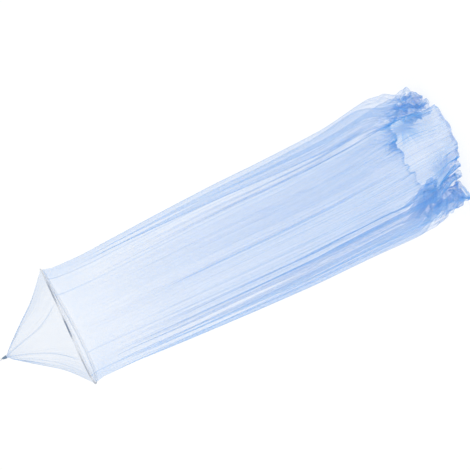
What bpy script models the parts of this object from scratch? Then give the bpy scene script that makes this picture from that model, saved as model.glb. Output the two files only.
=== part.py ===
"""Ceiling-hung mosquito net: a hanging loop and tip cap, a four-gore roof, a wire hoop
in its sewn casing, and four flared skirt panels that fall in pleats to the floor.

Metres, +Z up. The origin is where a ceiling hook bears in the loop. Angles are degrees
or radians about Z, counted from the front (-Y) towards +X.
"""
import math
from collections import namedtuple

import bmesh
import bpy
from mathutils import Vector

# Heights, counted down from the hook, and the cloth
HOOP_Z = -0.357
FLOOR_Z = -2.381
CLOTH = 0.0012
GAP = 0.0003
WHOLE_DROP = HOOP_Z - FLOOR_Z - CLOTH / 2.0

# Hoop and casing
HOOP_RADIUS = 0.3010
HOOP_WIRE = 0.0020
HOOP_WARP = 0.0055
HOOP_SADDLE = 0.0035
HOOP_STEPS = 64
CASING_BORE = 0.0024
CASING_CLOTH = 0.0010
CASING_SLOT = 0.0012
CASING_TILT = math.radians(40)
CASING_LEG = 0.0180
CASING_ARC_POINTS = 7

# Loop and tip cap; rises count from the hoop
LOOP_EYE_RADIUS = 0.0035
LOOP_EYE_HEIGHT = 0.0140
LOOP_BAND = 0.0012
LOOP_TAPE_WIDTH = 0.0070
LOOP_SEAT = 0.0030
LOOP_ARC_POINTS = 11
CAP_BOTTOM_RISE = 0.3225
CAP_CEILING_RISE = 0.3325
CAP_TOP_RADIUS = 0.0048
CAP_CLOTH = 0.0011
CAP_ROUNDING = 0.0012

# Roof: rise over the hoop, reach from the axis, and how far the axis leans in X
RoofSection = namedtuple("RoofSection", "rise reach lean")
ROOF_SECTIONS = (
    RoofSection(0.0023, HOOP_RADIUS - 0.0035, 0.0000),
    RoofSection(0.0350, 0.2620, 0.0020),
    RoofSection(0.0630, 0.2305, 0.0045),
    RoofSection(0.0900, 0.2020, 0.0055),
    RoofSection(0.1180, 0.1755, 0.0055),
    RoofSection(0.1730, 0.1310, 0.0050),
    RoofSection(0.2280, 0.0855, 0.0030),
    RoofSection(0.2830, 0.0385, 0.0010),
    RoofSection(0.3000, 0.0235, 0.0000),
    RoofSection(0.3150, 0.0085, 0.0000),
    RoofSection(0.3300, 0.0045, 0.0000),
)
ROOF_COLUMNS = 13
ROOF_SAG = 0.055

# Skirt: drop under the hoop, reach of the fold crests, and how far the axis leans in X
SkirtSection = namedtuple("SkirtSection", "drop reach lean")
SLOT_SLOPE = math.tan(CASING_TILT)
SKIRT_SECTIONS = (
    SkirtSection(0.0055, HOOP_RADIUS - 0.0055 * SLOT_SLOPE, 0.000),
    SkirtSection(0.0150, HOOP_RADIUS - 0.0150 * SLOT_SLOPE, 0.000),
    SkirtSection(0.0600, 0.2870, -0.003),
    SkirtSection(0.1800, 0.2885, -0.007),
    SkirtSection(0.3700, 0.3020, -0.010),
    SkirtSection(0.6200, 0.3190, -0.013),
    SkirtSection(0.9100, 0.3360, -0.017),
    SkirtSection(1.2100, 0.3480, -0.022),
    SkirtSection(1.5200, 0.3590, -0.020),
    SkirtSection(WHOLE_DROP - 0.30, 0.3790, -0.010),
    SkirtSection(WHOLE_DROP - 0.24, 0.3840, -0.007),
    SkirtSection(WHOLE_DROP - 0.18, 0.3880, -0.005),
    SkirtSection(WHOLE_DROP - 0.12, 0.3870, -0.003),
    SkirtSection(WHOLE_DROP - 0.06, 0.3730, -0.002),
    SkirtSection(WHOLE_DROP, 0.3550, 0.000),
)

# Hem on the floor: reach of the crests, how far the low crests stand back, depth of the
# pleats on the floor, and depth of the hanging pleats over it
HemSpot = namedtuple("HemSpot", "angle reach stand_back pleat hanging")
HEM_SPOTS = (
    HemSpot(0, 0.338, 0.000, 0.018, 0.022),
    HemSpot(12, 0.345, 0.009, 0.018, 0.016),
    HemSpot(27, 0.338, 0.000, 0.024, 0.016),
    HemSpot(46, 0.329, 0.030, 0.093, 0.022),
    HemSpot(62, 0.358, 0.060, 0.115, 0.070),
    HemSpot(88, 0.331, 0.060, 0.046, 0.030),
    HemSpot(107, 0.302, 0.060, 0.033, 0.048),
    HemSpot(127, 0.350, 0.060, 0.020, 0.024),
    HemSpot(152, 0.395, 0.015, 0.060, 0.018),
    HemSpot(180, 0.380, 0.004, 0.035, 0.020),
    HemSpot(205, 0.362, 0.000, 0.045, 0.020),
    HemSpot(240, 0.351, 0.020, 0.130, 0.070),
    HemSpot(268, 0.301, 0.000, 0.020, 0.065),
    HemSpot(294, 0.351, 0.040, 0.127, 0.070),
    HemSpot(310, 0.353, 0.060, 0.082, 0.060),
    HemSpot(326, 0.275, 0.000, 0.040, 0.016),
    HemSpot(343, 0.300, 0.008, 0.022, 0.012),
)
FLOOR_SPREAD = 0.24

# Pleats of a panel, from seam to seam: share of its width, and of the depth at that place
Pleat = namedtuple("Pleat", "width depth")
PLEATS = (
    Pleat(1.22, 1.25),
    Pleat(0.55, 1.12),
    Pleat(0.84, 1.25),
    Pleat(0.55, 0.45),
    Pleat(1.57, 1.25),
    Pleat(1.19, 0.72),
)
SEAM_ANGLES = tuple(math.radians(angle) for angle in (31, 122, 214, 304))
SEAM_STRIP = 0.0050
PLEAT_CORNERS = (0.13, 0.38, 0.62, 0.87)
PLEAT_BUNCH = -0.05
PROUD_CRESTS = 13
CRUMPLE_PITCH = 0.12
CRUMPLE_DEPTH = 0.016
DEEP_PLEAT = 0.13

NET_BLUE = (0.30, 0.52, 0.90, 1.0)
CASING_BLUE = (0.27, 0.42, 0.74, 1.0)
TAPE_BLUE = (0.15, 0.23, 0.34, 1.0)
STEEL_GREY = (0.82, 0.85, 0.89, 1.0)


def clear_scene():
    for leftover in list(bpy.data.objects):
        bpy.data.objects.remove(leftover, do_unlink=True)


def new_collection(name):
    collection = bpy.data.collections.new(name)
    bpy.context.scene.collection.children.link(collection)
    return collection


def finish(name, color, roughness, metallic=0.0):
    material = bpy.data.materials.new(name)
    material.use_nodes = True
    shader = material.node_tree.nodes["Principled BSDF"]
    shader.inputs["Base Color"].default_value = color
    shader.inputs["Roughness"].default_value = roughness
    shader.inputs["Metallic"].default_value = metallic
    return material


def blend(low, high, share):
    return low + (high - low) * share


def ease(share):
    share = min(max(share, 0.0), 1.0)
    return share * share * (3.0 - 2.0 * share)


def around(angle, reach, height, lean=0.0):
    """Point at an angle from the front, a reach from the axis, and a height."""
    return Vector((lean + reach * math.sin(angle), -reach * math.cos(angle), height))


def hoop_lift(angle):
    """Rise of the slightly twisted hoop above its mean level."""
    saddle = HOOP_SADDLE * (0.8 - math.cos(2.0 * angle))
    return saddle - HOOP_WARP * math.sin(2.0 * angle)


def hem_at(angle):
    """Reach, stand-back and pleat depths at an angle, eased between the spots."""
    degrees = math.degrees(angle) % 360.0
    spots = HEM_SPOTS + (HEM_SPOTS[0]._replace(angle=360),)
    for low, high in zip(spots, spots[1:]):
        if degrees <= high.angle:
            share = ease((degrees - low.angle) / (high.angle - low.angle))
            return tuple(blend(a, b, share) for a, b in zip(low[1:], high[1:]))
    return HEM_SPOTS[0][1:]


def pleat_wave(phase, pleats):
    """0 on a crest and near 1 in a valley, with flat tops, for a phase counted in folds."""
    swing = 0.5 - 0.5 * math.cos(2.0 * math.pi * phase)
    depth = pleats[min(int(phase), len(pleats) - 1)].depth
    return ease(swing) * depth


def skirt_point(top_angle, phase, pleats, section):
    """Point of the skirt under a place on the hoop, for a fold phase and a section."""
    drop = section.drop
    fall = drop / WHOLE_DROP
    angle = top_angle + PLEAT_BUNCH * fall * math.sin(2.0 * top_angle)
    flat = SKIRT_SECTIONS[1].drop
    fullness = max(drop - flat, 0.0) / (WHOLE_DROP - flat)
    hem_reach, stand_back, floor_pleat, hanging_pleat = hem_at(angle)
    on_floor = ease((drop - WHOLE_DROP + FLOOR_SPREAD) / FLOOR_SPREAD)
    reach = blend(section.reach, hem_reach, on_floor)
    pleat = blend(hanging_pleat, floor_pleat, on_floor)
    low_crest = 0.5 - 0.5 * math.cos(PROUD_CRESTS * top_angle)
    reach -= fullness * (stand_back * low_crest + pleat * pleat_wave(phase, pleats))
    crumple = math.sin(2.0 * math.pi * (WHOLE_DROP - drop) / CRUMPLE_PITCH + 2.4 * phase)
    reach += CRUMPLE_DEPTH * on_floor * crumple * pleat / DEEP_PLEAT
    height = HOOP_Z - drop + hoop_lift(top_angle) * (1.0 - fall)
    return around(angle, reach, height, section.lean)


def panel_columns(start, end, pleats):
    """Top angle and fold phase of each column from one seam to the next."""
    edge = 0.5 * (GAP + 0.0001) / HOOP_RADIUS
    strip = SEAM_STRIP / HOOP_RADIUS
    whole = sum(pleat.width for pleat in pleats)
    columns = [(start + edge, 0.0), (start + strip, 0.0)]
    done = 0.0
    for fold, pleat in enumerate(pleats):
        for corner in PLEAT_CORNERS:
            share = (done + corner * pleat.width) / whole
            columns.append((blend(start + strip, end - strip, share), fold + corner))
        done += pleat.width
    columns += [(end - strip, 0.0), (end - edge, 0.0)]
    return columns


def bent_sheet(name, column_count, row_count, place, material, collection):
    """Flat grid whose points go to place(column, row), thickened to the cloth."""
    grid = bmesh.new()
    bmesh.ops.create_grid(grid, x_segments=column_count - 1, y_segments=row_count - 1, size=0.5)
    for vert in grid.verts:
        column = round((vert.co.x + 0.5) * (column_count - 1))
        row = round((vert.co.y + 0.5) * (row_count - 1))
        vert.co = place(column, row)
    bmesh.ops.recalc_face_normals(grid, faces=grid.faces)
    mesh = bpy.data.meshes.new(name)
    grid.to_mesh(mesh)
    grid.free()
    mesh.shade_smooth()
    mesh.materials.append(material)
    sheet = bpy.data.objects.new(name, mesh)
    collection.objects.link(sheet)
    wall = sheet.modifiers.new("Cloth", "SOLIDIFY")
    wall.thickness = CLOTH
    wall.offset = 0.0
    wall.use_even_offset = True
    return sheet


def skirt_panel(index, start, end, material, collection):
    """Flared panel; each starts at another pleat of the list, so no two hang alike."""
    pleats = PLEATS[2 * index:] + PLEATS[:2 * index]
    columns = panel_columns(start, end, pleats)

    def place(column, row):
        top_angle, phase = columns[column]
        return skirt_point(top_angle, phase, pleats, SKIRT_SECTIONS[row])

    name = "skirt_panel_%d" % index
    return bent_sheet(name, len(columns), len(SKIRT_SECTIONS), place, material, collection)


def roof_gore(index, start, end, material, collection):
    """Net triangle between two seams; it sags between them and its tip is gathered."""

    def place(column, row):
        section = ROOF_SECTIONS[row]
        edge = 0.5 * (GAP + 0.0001) / section.reach
        share = column / (ROOF_COLUMNS - 1)
        angle = blend(start + edge, end - edge, share)
        height_share = section.rise / ROOF_SECTIONS[-1].rise
        sag = ROOF_SAG * math.sin(math.pi * share) ** 2 * math.sin(math.pi * height_share)
        height = HOOP_Z + section.rise + hoop_lift(angle) * (1.0 - height_share)
        return around(angle, section.reach * (1.0 - sag), height, section.lean)

    name = "roof_gore_%d" % index
    return bent_sheet(name, ROOF_COLUMNS, len(ROOF_SECTIONS), place, material, collection)


def ring_path(name):
    """Closed curve along the middle of the hoop's wire."""
    curve = bpy.data.curves.new(name, "CURVE")
    curve.dimensions = "3D"
    curve.twist_mode = "Z_UP"
    spline = curve.splines.new("POLY")
    spline.points.add(HOOP_STEPS - 1)
    for step, point in enumerate(spline.points):
        angle = 2.0 * math.pi * step / HOOP_STEPS
        point.co = (*around(angle, HOOP_RADIUS, HOOP_Z + hoop_lift(angle)), 1.0)
    spline.use_cyclic_u = True
    return curve


def hoop(material, collection):
    curve = ring_path("hoop")
    curve.bevel_depth = HOOP_WIRE
    curve.bevel_resolution = 2
    curve.materials.append(material)
    ring = bpy.data.objects.new("hoop", curve)
    collection.objects.link(ring)
    return ring


def casing_outline():
    """Section of the folded tape about the wire: an open ring whose legs lean inwards."""
    outer = CASING_BORE + CASING_CLOTH
    half_slot = CASING_SLOT / 2.0 + 0.0005
    outline = []
    for radius, half_width in ((outer, half_slot + CASING_CLOTH), (CASING_BORE, half_slot)):
        first = math.asin(half_width / radius)
        arc = []
        for step in range(CASING_ARC_POINTS):
            turn = blend(first, 2.0 * math.pi - first, step / (CASING_ARC_POINTS - 1))
            arc.append((radius * math.cos(turn), radius * math.sin(turn)))
        arc.insert(0, (CASING_LEG, half_width))
        arc.append((CASING_LEG, -half_width))
        outline.append(arc)
    return outline[1] + outline[0][::-1]


def casing(material, collection, guides):
    section = bpy.data.curves.new("casing_section", "CURVE")
    section.dimensions = "2D"
    spline = section.splines.new("POLY")
    corners = casing_outline()
    spline.points.add(len(corners) - 1)
    down = Vector((-math.sin(CASING_TILT), -math.cos(CASING_TILT)))
    side = Vector((-down.y, down.x))
    for point, (along, across) in zip(spline.points, corners):
        spot = down * along + side * across
        point.co = (spot.x, spot.y, 0.0, 1.0)
    spline.use_cyclic_u = True
    guide = bpy.data.objects.new("casing_section", section)
    guide.hide_render = True
    guide.display_type = "WIRE"
    guides.objects.link(guide)
    curve = ring_path("hoop_casing")
    curve.bevel_mode = "OBJECT"
    curve.bevel_object = guide
    curve.materials.append(material)
    sleeve = bpy.data.objects.new("hoop_casing", curve)
    collection.objects.link(sleeve)
    return sleeve


def hanging_loop(material, collection):
    """Tape bent to a drop-shaped eye; its top bears on the hook, its foot on the cap."""
    curve = bpy.data.curves.new("hanging_loop", "CURVE")
    curve.dimensions = "2D"
    curve.fill_mode = "BOTH"
    curve.extrude = LOOP_TAPE_WIDTH / 2.0
    foot = LOOP_EYE_HEIGHT + LOOP_BAND
    feet = ([(0.0, -LOOP_EYE_HEIGHT)], [(-LOOP_SEAT / 2.0, -foot), (LOOP_SEAT / 2.0, -foot)])
    for radius, foot_points in zip((LOOP_EYE_RADIUS, LOOP_EYE_RADIUS + LOOP_BAND), feet):
        corners = list(foot_points)
        for step in range(LOOP_ARC_POINTS):
            turn = math.radians(blend(-30.0, 210.0, step / (LOOP_ARC_POINTS - 1)))
            corners.append((radius * math.cos(turn), radius * math.sin(turn) - LOOP_EYE_RADIUS))
        spline = curve.splines.new("POLY")
        spline.points.add(len(corners) - 1)
        for point, (x, height) in zip(spline.points, corners):
            point.co = (x, height, 0.0, 1.0)
        spline.use_cyclic_u = True
    curve.materials.append(material)
    loop = bpy.data.objects.new("hanging_loop", curve)
    loop.rotation_euler.x = math.pi / 2.0
    collection.objects.link(loop)
    return loop


def tip_cap(material, collection):
    """Turned cap over the gathered tip of the roof, open below."""
    low, tip = ROOF_SECTIONS[-2:]
    slope = (tip.reach - low.reach) / (tip.rise - low.rise)
    clear = (CLOTH / 2.0 + GAP + 0.0001) * math.hypot(1.0, slope)

    def bore(rise):
        return low.reach + slope * (rise - low.rise) + clear

    foot = LOOP_EYE_HEIGHT + LOOP_BAND + GAP
    top = -foot
    bottom = HOOP_Z + CAP_BOTTOM_RISE
    ceiling = HOOP_Z + CAP_CEILING_RISE
    profile = (
        (0.0, top),
        (CAP_TOP_RADIUS - CAP_ROUNDING, top),
        (CAP_TOP_RADIUS, top - CAP_ROUNDING),
        (bore(CAP_BOTTOM_RISE) + CAP_CLOTH, bottom),
        (bore(CAP_BOTTOM_RISE), bottom),
        (bore(CAP_CEILING_RISE), ceiling),
        (0.0, ceiling),
    )
    mesh = bpy.data.meshes.new("tip_cap")
    edges = [(step, step + 1) for step in range(len(profile) - 1)]
    mesh.from_pydata([(reach, 0.0, height) for reach, height in profile], edges, [])
    mesh.materials.append(material)
    cap = bpy.data.objects.new("tip_cap", mesh)
    collection.objects.link(cap)
    turn = cap.modifiers.new("Turn", "SCREW")
    turn.steps = 24
    turn.render_steps = 24
    turn.use_merge_vertices = True
    turn.merge_threshold = 0.00005
    turn.use_smooth_shade = True
    return cap


def main():
    clear_scene()
    canopy = new_collection("mosquito_net_canopy")
    guides = new_collection("guides")
    net = finish("net", NET_BLUE, 0.75)
    tape = finish("tape", TAPE_BLUE, 0.8)
    doubled_net = finish("casing", CASING_BLUE, 0.75)
    wire = finish("wire", STEEL_GREY, 0.35, 1.0)
    ends = SEAM_ANGLES[1:] + (SEAM_ANGLES[0] + 2.0 * math.pi,)
    for index, (start, end) in enumerate(zip(SEAM_ANGLES, ends), start=1):
        roof_gore(index, start, end, net, canopy)
        skirt_panel(index, start, end, net, canopy)
    hoop(wire, canopy)
    casing(doubled_net, canopy, guides)
    tip_cap(tape, canopy)
    hanging_loop(tape, canopy)


main()
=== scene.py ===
"""Looks of a ceiling-hung mosquito net: sheer blue net in a cone roof over a wire hoop,
a long flared skirt that falls in gathers, and its heaps of hem on the floor.

Metres, +Z up. The origin is where a ceiling hook bears in the loop. Angles are radians
about Z, counted from the front (-Y) towards +X.
"""

import logging
import math
from dataclasses import dataclass, field
from enum import Enum
from typing import NamedTuple

import bpy
import numpy as np
from mathutils import Matrix, Vector


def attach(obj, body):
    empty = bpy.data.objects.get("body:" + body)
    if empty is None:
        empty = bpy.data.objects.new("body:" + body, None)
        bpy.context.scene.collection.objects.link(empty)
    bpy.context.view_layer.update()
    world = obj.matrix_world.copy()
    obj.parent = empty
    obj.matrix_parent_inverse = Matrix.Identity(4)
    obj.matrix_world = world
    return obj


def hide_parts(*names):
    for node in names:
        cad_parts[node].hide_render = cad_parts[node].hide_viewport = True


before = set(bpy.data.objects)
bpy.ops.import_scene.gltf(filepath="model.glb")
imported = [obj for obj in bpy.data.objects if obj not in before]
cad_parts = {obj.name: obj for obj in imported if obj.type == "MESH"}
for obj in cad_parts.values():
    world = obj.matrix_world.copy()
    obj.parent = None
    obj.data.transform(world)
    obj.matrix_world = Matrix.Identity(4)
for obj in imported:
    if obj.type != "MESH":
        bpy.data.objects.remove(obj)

logging.basicConfig(level=logging.INFO, format="%(name)s: %(message)s")
LOG = logging.getLogger("mosquito_net")

Array = np.ndarray
Material = bpy.types.Material
Node = bpy.types.Node
NodeTree = bpy.types.NodeTree
Piece = bpy.types.Object
Socket = bpy.types.NodeSocket
Colour = tuple[float, float, float, float]

BODY = "root"
CLOTH_UV = "cloth"
LAYERS = "cloth_layers"
SOCKET_KINDS = {"Cloth": "Vector", "Place": "Vector", "Colour": "Color", "Worn": "Color"}
TURN = 2.0 * math.pi
# Places on the flat cloth that keep every coordinate of the net over zero.
SKIRT_CLOTH = 10.0
ROOF_CLOTH = (20.0, 10.0)


class Slot(Enum):
    """Material slots of the solids that are replaced."""

    NET = "net"
    CASING = "casing"
    WIRE = "wire"


class Held(Enum):
    """How a sheet of cloth is held."""

    HUNG = "hung"
    FOLDED = "folded"


# ---- shape rules ----


def ease(share: Array) -> Array:
    """Smooth step from 0 to 1.

    Args:
        share: Values, held between 0 and 1 first.

    Returns:
        The eased values.
    """
    held = np.clip(share, 0.0, 1.0)
    return held * held * (3.0 - 2.0 * held)


def bell(away: Array, width: Array, power: int = 2) -> Array:
    """Weight that is 1 in the middle and dies away over a width."""
    return np.exp(-(away / width) ** power)


def degrees_from(degrees: Array, middle: Array) -> Array:
    """Degrees past a middle, from -180 to 180."""
    return (degrees - middle + 180.0) % 360.0 - 180.0


def side_by_side(*values: Array) -> Array:
    """Arrays joined along a new last axis."""
    return np.stack(np.broadcast_arrays(*values), axis=-1)


def through_points(x: Array, known_x: Array, known_y: Array) -> Array:
    """Smooth curve through known points that never swings past them.

    Args:
        x: Where the curve is read.
        known_x: Rising positions of the known points.
        known_y: Their values.

    Returns:
        The curve's value at each x.
    """
    step = np.diff(known_x)
    slope = np.diff(known_y) / step
    tangent = np.zeros_like(known_y)
    same_way = slope[1:] * slope[:-1] > 0.0
    weight_a = 2.0 * step[1:] + step[:-1]
    weight_b = step[1:] + 2.0 * step[:-1]
    safe_a = np.where(slope[:-1] == 0.0, 1.0, slope[:-1])
    safe_b = np.where(slope[1:] == 0.0, 1.0, slope[1:])
    harmonic = (weight_a + weight_b) / (weight_a / safe_a + weight_b / safe_b)
    tangent[1:-1] = np.where(same_way, harmonic, 0.0)
    tangent[0], tangent[-1] = slope[0], slope[-1]
    at = np.clip(np.searchsorted(known_x, x, side="right") - 1, 0, len(step) - 1)
    run = step[at]
    t = np.clip((x - known_x[at]) / run, 0.0, 1.0)
    return (
        known_y[at] * (1.0 + 2.0 * t) * (1.0 - t) ** 2
        + tangent[at] * run * t * (1.0 - t) ** 2
        + known_y[at + 1] * t * t * (3.0 - 2.0 * t)
        + tangent[at + 1] * run * t * t * (t - 1.0)
    )


@dataclass(frozen=True)
class SmoothNoise:
    """Soft noise from -1 to 1 on a lattice that repeats, the same on each run."""

    seed: int
    lattice: int = 64

    def at(self, x: Array, y: Array) -> Array:
        """Value of the noise.

        Args:
            x: Position across, in lattice steps.
            y: Position along, in lattice steps.

        Returns:
            The noise at each position.
        """
        values = np.random.default_rng(self.seed).random((self.lattice, self.lattice)) * 2.0 - 1.0
        x, y = np.broadcast_arrays(x, y)
        left, low = np.floor(x).astype(int), np.floor(y).astype(int)
        across, along = ease(x - left), ease(y - low)
        left, low = left % self.lattice, low % self.lattice
        right, high = (left + 1) % self.lattice, (low + 1) % self.lattice
        bottom = values[left, low] * (1.0 - across) + values[right, low] * across
        top = values[left, high] * (1.0 - across) + values[right, high] * across
        return bottom * (1.0 - along) + top * along


@dataclass(frozen=True)
class Hang:
    """Main sizes of the whole net and the frame that it hangs in."""

    hoop_z: float = -0.357
    floor_z: float = -2.381
    cloth: float = 0.0012
    hoop_radius: float = 0.3010
    hoop_warp: float = 0.0055
    hoop_saddle: float = 0.0035
    saddle_lift: float = 0.8
    casing_tilt: float = math.radians(40.0)
    seam_degrees: tuple[float, ...] = (31.0, 122.0, 214.0, 304.0)
    seam_gap: float = 0.0004

    @property
    def whole_drop(self) -> float:
        """Fall of the skirt from hoop to floor."""
        return self.hoop_z - self.floor_z - self.cloth / 2.0

    def seams(self, index: int) -> tuple[float, float]:
        """Angles of the two seams beside a panel or gore, counted from 1."""
        closed = self.seam_degrees + (self.seam_degrees[0] + 360.0,)
        return math.radians(closed[index - 1]), math.radians(closed[index])

    def hoop_lift(self, angle: Array) -> Array:
        """Rise of the slightly twisted hoop above its mean level."""
        saddle = self.hoop_saddle * (self.saddle_lift - np.cos(2.0 * angle))
        return saddle - self.hoop_warp * np.sin(2.0 * angle)

    def around(self, angle: Array, reach: Array, height: Array, lean: Array) -> Array:
        """Points at angles from the front.

        Args:
            angle: Angle from the front.
            reach: Distance from the axis.
            height: Height of the point.
            lean: How far the axis has moved in X.

        Returns:
            An array of points, with x, y and z last.
        """
        return side_by_side(lean + reach * np.sin(angle), -reach * np.cos(angle), height)


# ---- mesh and nodes ----


def clear_selection() -> None:
    """Deselects everything and leaves edit mode."""
    if bpy.context.object and bpy.context.object.mode != "OBJECT":
        bpy.ops.object.mode_set(mode="OBJECT")
    bpy.ops.object.select_all(action="DESELECT")


def sheet_object(name: str, points: Array, cloth: Array, layers: Array) -> Piece:
    """Open sheet of cloth on a grid of points.

    Args:
        name: Name of the piece.
        points: Columns by rows by 3 points.
        cloth: Columns by rows by 2 places on the flat cloth, in metres.
        layers: Columns by rows number of cloth layers.

    Returns:
        The new object, linked to the scene.
    """
    columns, rows = points.shape[:2]
    column, row = np.meshgrid(np.arange(columns - 1), np.arange(rows - 1), indexing="ij")
    corner = (column * rows + row).ravel()
    faces = np.stack((corner, corner + 1, corner + rows + 1, corner + rows), axis=-1)
    mesh = bpy.data.meshes.new(name)
    mesh.from_pydata(points.reshape(-1, 3).tolist(), [], faces.tolist())
    mesh.update()
    mesh.shade_smooth()
    sheet_uv = mesh.uv_layers.new(name=CLOTH_UV)
    sheet_uv.data.foreach_set("uv", cloth.reshape(-1, 2)[faces.ravel()].ravel())
    doubling = mesh.attributes.new(LAYERS, "FLOAT", "POINT")
    doubling.data.foreach_set("value", layers.ravel().astype(np.float32))
    sheet = bpy.data.objects.new(name, mesh)
    bpy.context.scene.collection.objects.link(sheet)
    return sheet


class NodeBench:
    """Adds, sets and joins the nodes of one shader tree."""

    def __init__(self, tree: NodeTree) -> None:
        """Takes the tree to work on."""
        self.tree = tree

    def add(self, kind: str, settings: dict | None = None, **inputs: object) -> Node:
        """Adds a node.

        Args:
            kind: Blender's name of the node type.
            settings: The node's own properties.
            **inputs: Values or sockets by input name, with _ for a space.

        Returns:
            The new node.
        """
        node = self.tree.nodes.new(kind)
        for key, value in (settings or {}).items():
            setattr(node, key, value)
        for key, value in inputs.items():
            self.feed(node.inputs[key.replace("_", " ")], value)
        return node

    def feed(self, socket: Socket, value: object) -> None:
        """Links a socket to another, or sets its value."""
        if isinstance(value, Socket):
            self.tree.links.new(value, socket)
        else:
            socket.default_value = value

    def math(self, operation: str, *values: object, clamp: bool = False) -> Socket:
        """Math node's result for up to three values or sockets."""
        node = self.add("ShaderNodeMath", {"operation": operation, "use_clamp": clamp})
        for socket, value in zip(node.inputs, values):
            self.feed(socket, value)
        return node.outputs[0]

    def times(self, first: object, second: object) -> Socket:
        """Product of two values or sockets."""
        return self.math("MULTIPLY", first, second)

    def group(self, tree: NodeTree, **inputs: object) -> Node:
        """Adds a node that uses a group."""
        return self.add("ShaderNodeGroup", {"node_tree": tree}, **inputs)

    def bump(self, height: Socket, strength: float, distance: float) -> Socket:
        """Normal of a surface raised by a height."""
        node = self.add("ShaderNodeBump", Height=height, Strength=strength, Distance=distance)
        return node.outputs["Normal"]

    def place(self) -> Socket:
        """Place in the object's own axes."""
        return self.add("ShaderNodeTexCoord").outputs["Object"]

    def cloth(self) -> Socket:
        """Place on the flat cloth."""
        return self.add("ShaderNodeUVMap", {"uv_map": CLOTH_UV}).outputs["UV"]

    def layers(self) -> Socket:
        """Number of cloth layers that a place holds."""
        return self.add("ShaderNodeAttribute", {"attribute_name": LAYERS}).outputs["Fac"]

    def vector(self, operation: str, *values: object) -> Socket:
        """Vector Math node's result: a number for LENGTH and DOT_PRODUCT."""
        node = self.add("ShaderNodeVectorMath", {"operation": operation})
        for socket, value in zip(node.inputs, values):
            self.feed(socket, value)
        number = operation in ("LENGTH", "DOT_PRODUCT")
        return node.outputs["Value" if number else "Vector"]

    def ramp(self, value: object, low: float, high: float, to_low: float = 0.0,
             to_high: float = 1.0) -> Socket:
        """Map Range node's clamped result, eased between two values."""
        node = self.add("ShaderNodeMapRange", {"interpolation_type": "SMOOTHSTEP"})
        for key, item in (("Value", value), ("From Min", low), ("From Max", high),
                          ("To Min", to_low), ("To Max", to_high)):
            self.feed(node.inputs[key], item)
        return node.outputs["Result"]

    def mix(self, factor: object, first: object, second: object) -> Socket:
        """Colour between two colours."""
        node = self.add("ShaderNodeMix", {"data_type": "RGBA"})
        for socket, value in zip((node.inputs[0], node.inputs[6], node.inputs[7]),
                                 (factor, first, second)):
            self.feed(socket, value)
        return node.outputs[2]


def node_group(name: str, inputs: tuple[str, ...],
               outputs: tuple[str, ...]) -> tuple[NodeTree, NodeBench, object, object]:
    """New shader node group with its sockets.

    Args:
        name: Name of the group.
        inputs: Names of its inputs.
        outputs: Names of its outputs.

    Returns:
        The tree, a bench for it, the sockets that it is given and those of its result.
    """
    tree = bpy.data.node_groups.new(name, "ShaderNodeTree")
    for way, keys in (("INPUT", inputs), ("OUTPUT", outputs)):
        for key in keys:
            kind = "NodeSocket" + SOCKET_KINDS.get(key, "Float")
            tree.interface.new_socket(key, in_out=way, socket_type=kind)
    bench = NodeBench(tree)
    return tree, bench, bench.add("NodeGroupInput").outputs, bench.add("NodeGroupOutput").inputs


def new_material(name: str) -> tuple[Material, NodeBench, object]:
    """New material, a bench for its nodes, and the inputs of its shader."""
    material = bpy.data.materials.new(name)
    material.use_nodes = True
    nodes = material.node_tree.nodes
    return material, NodeBench(material.node_tree), nodes["Principled BSDF"].inputs


def stand_for(piece: Piece, node: str, finish: Material) -> None:
    """Puts a finished piece in the place of a solid."""
    piece.data.materials.clear()
    piece.data.materials.append(finish)
    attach(piece, BODY)
    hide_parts(node)


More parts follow.
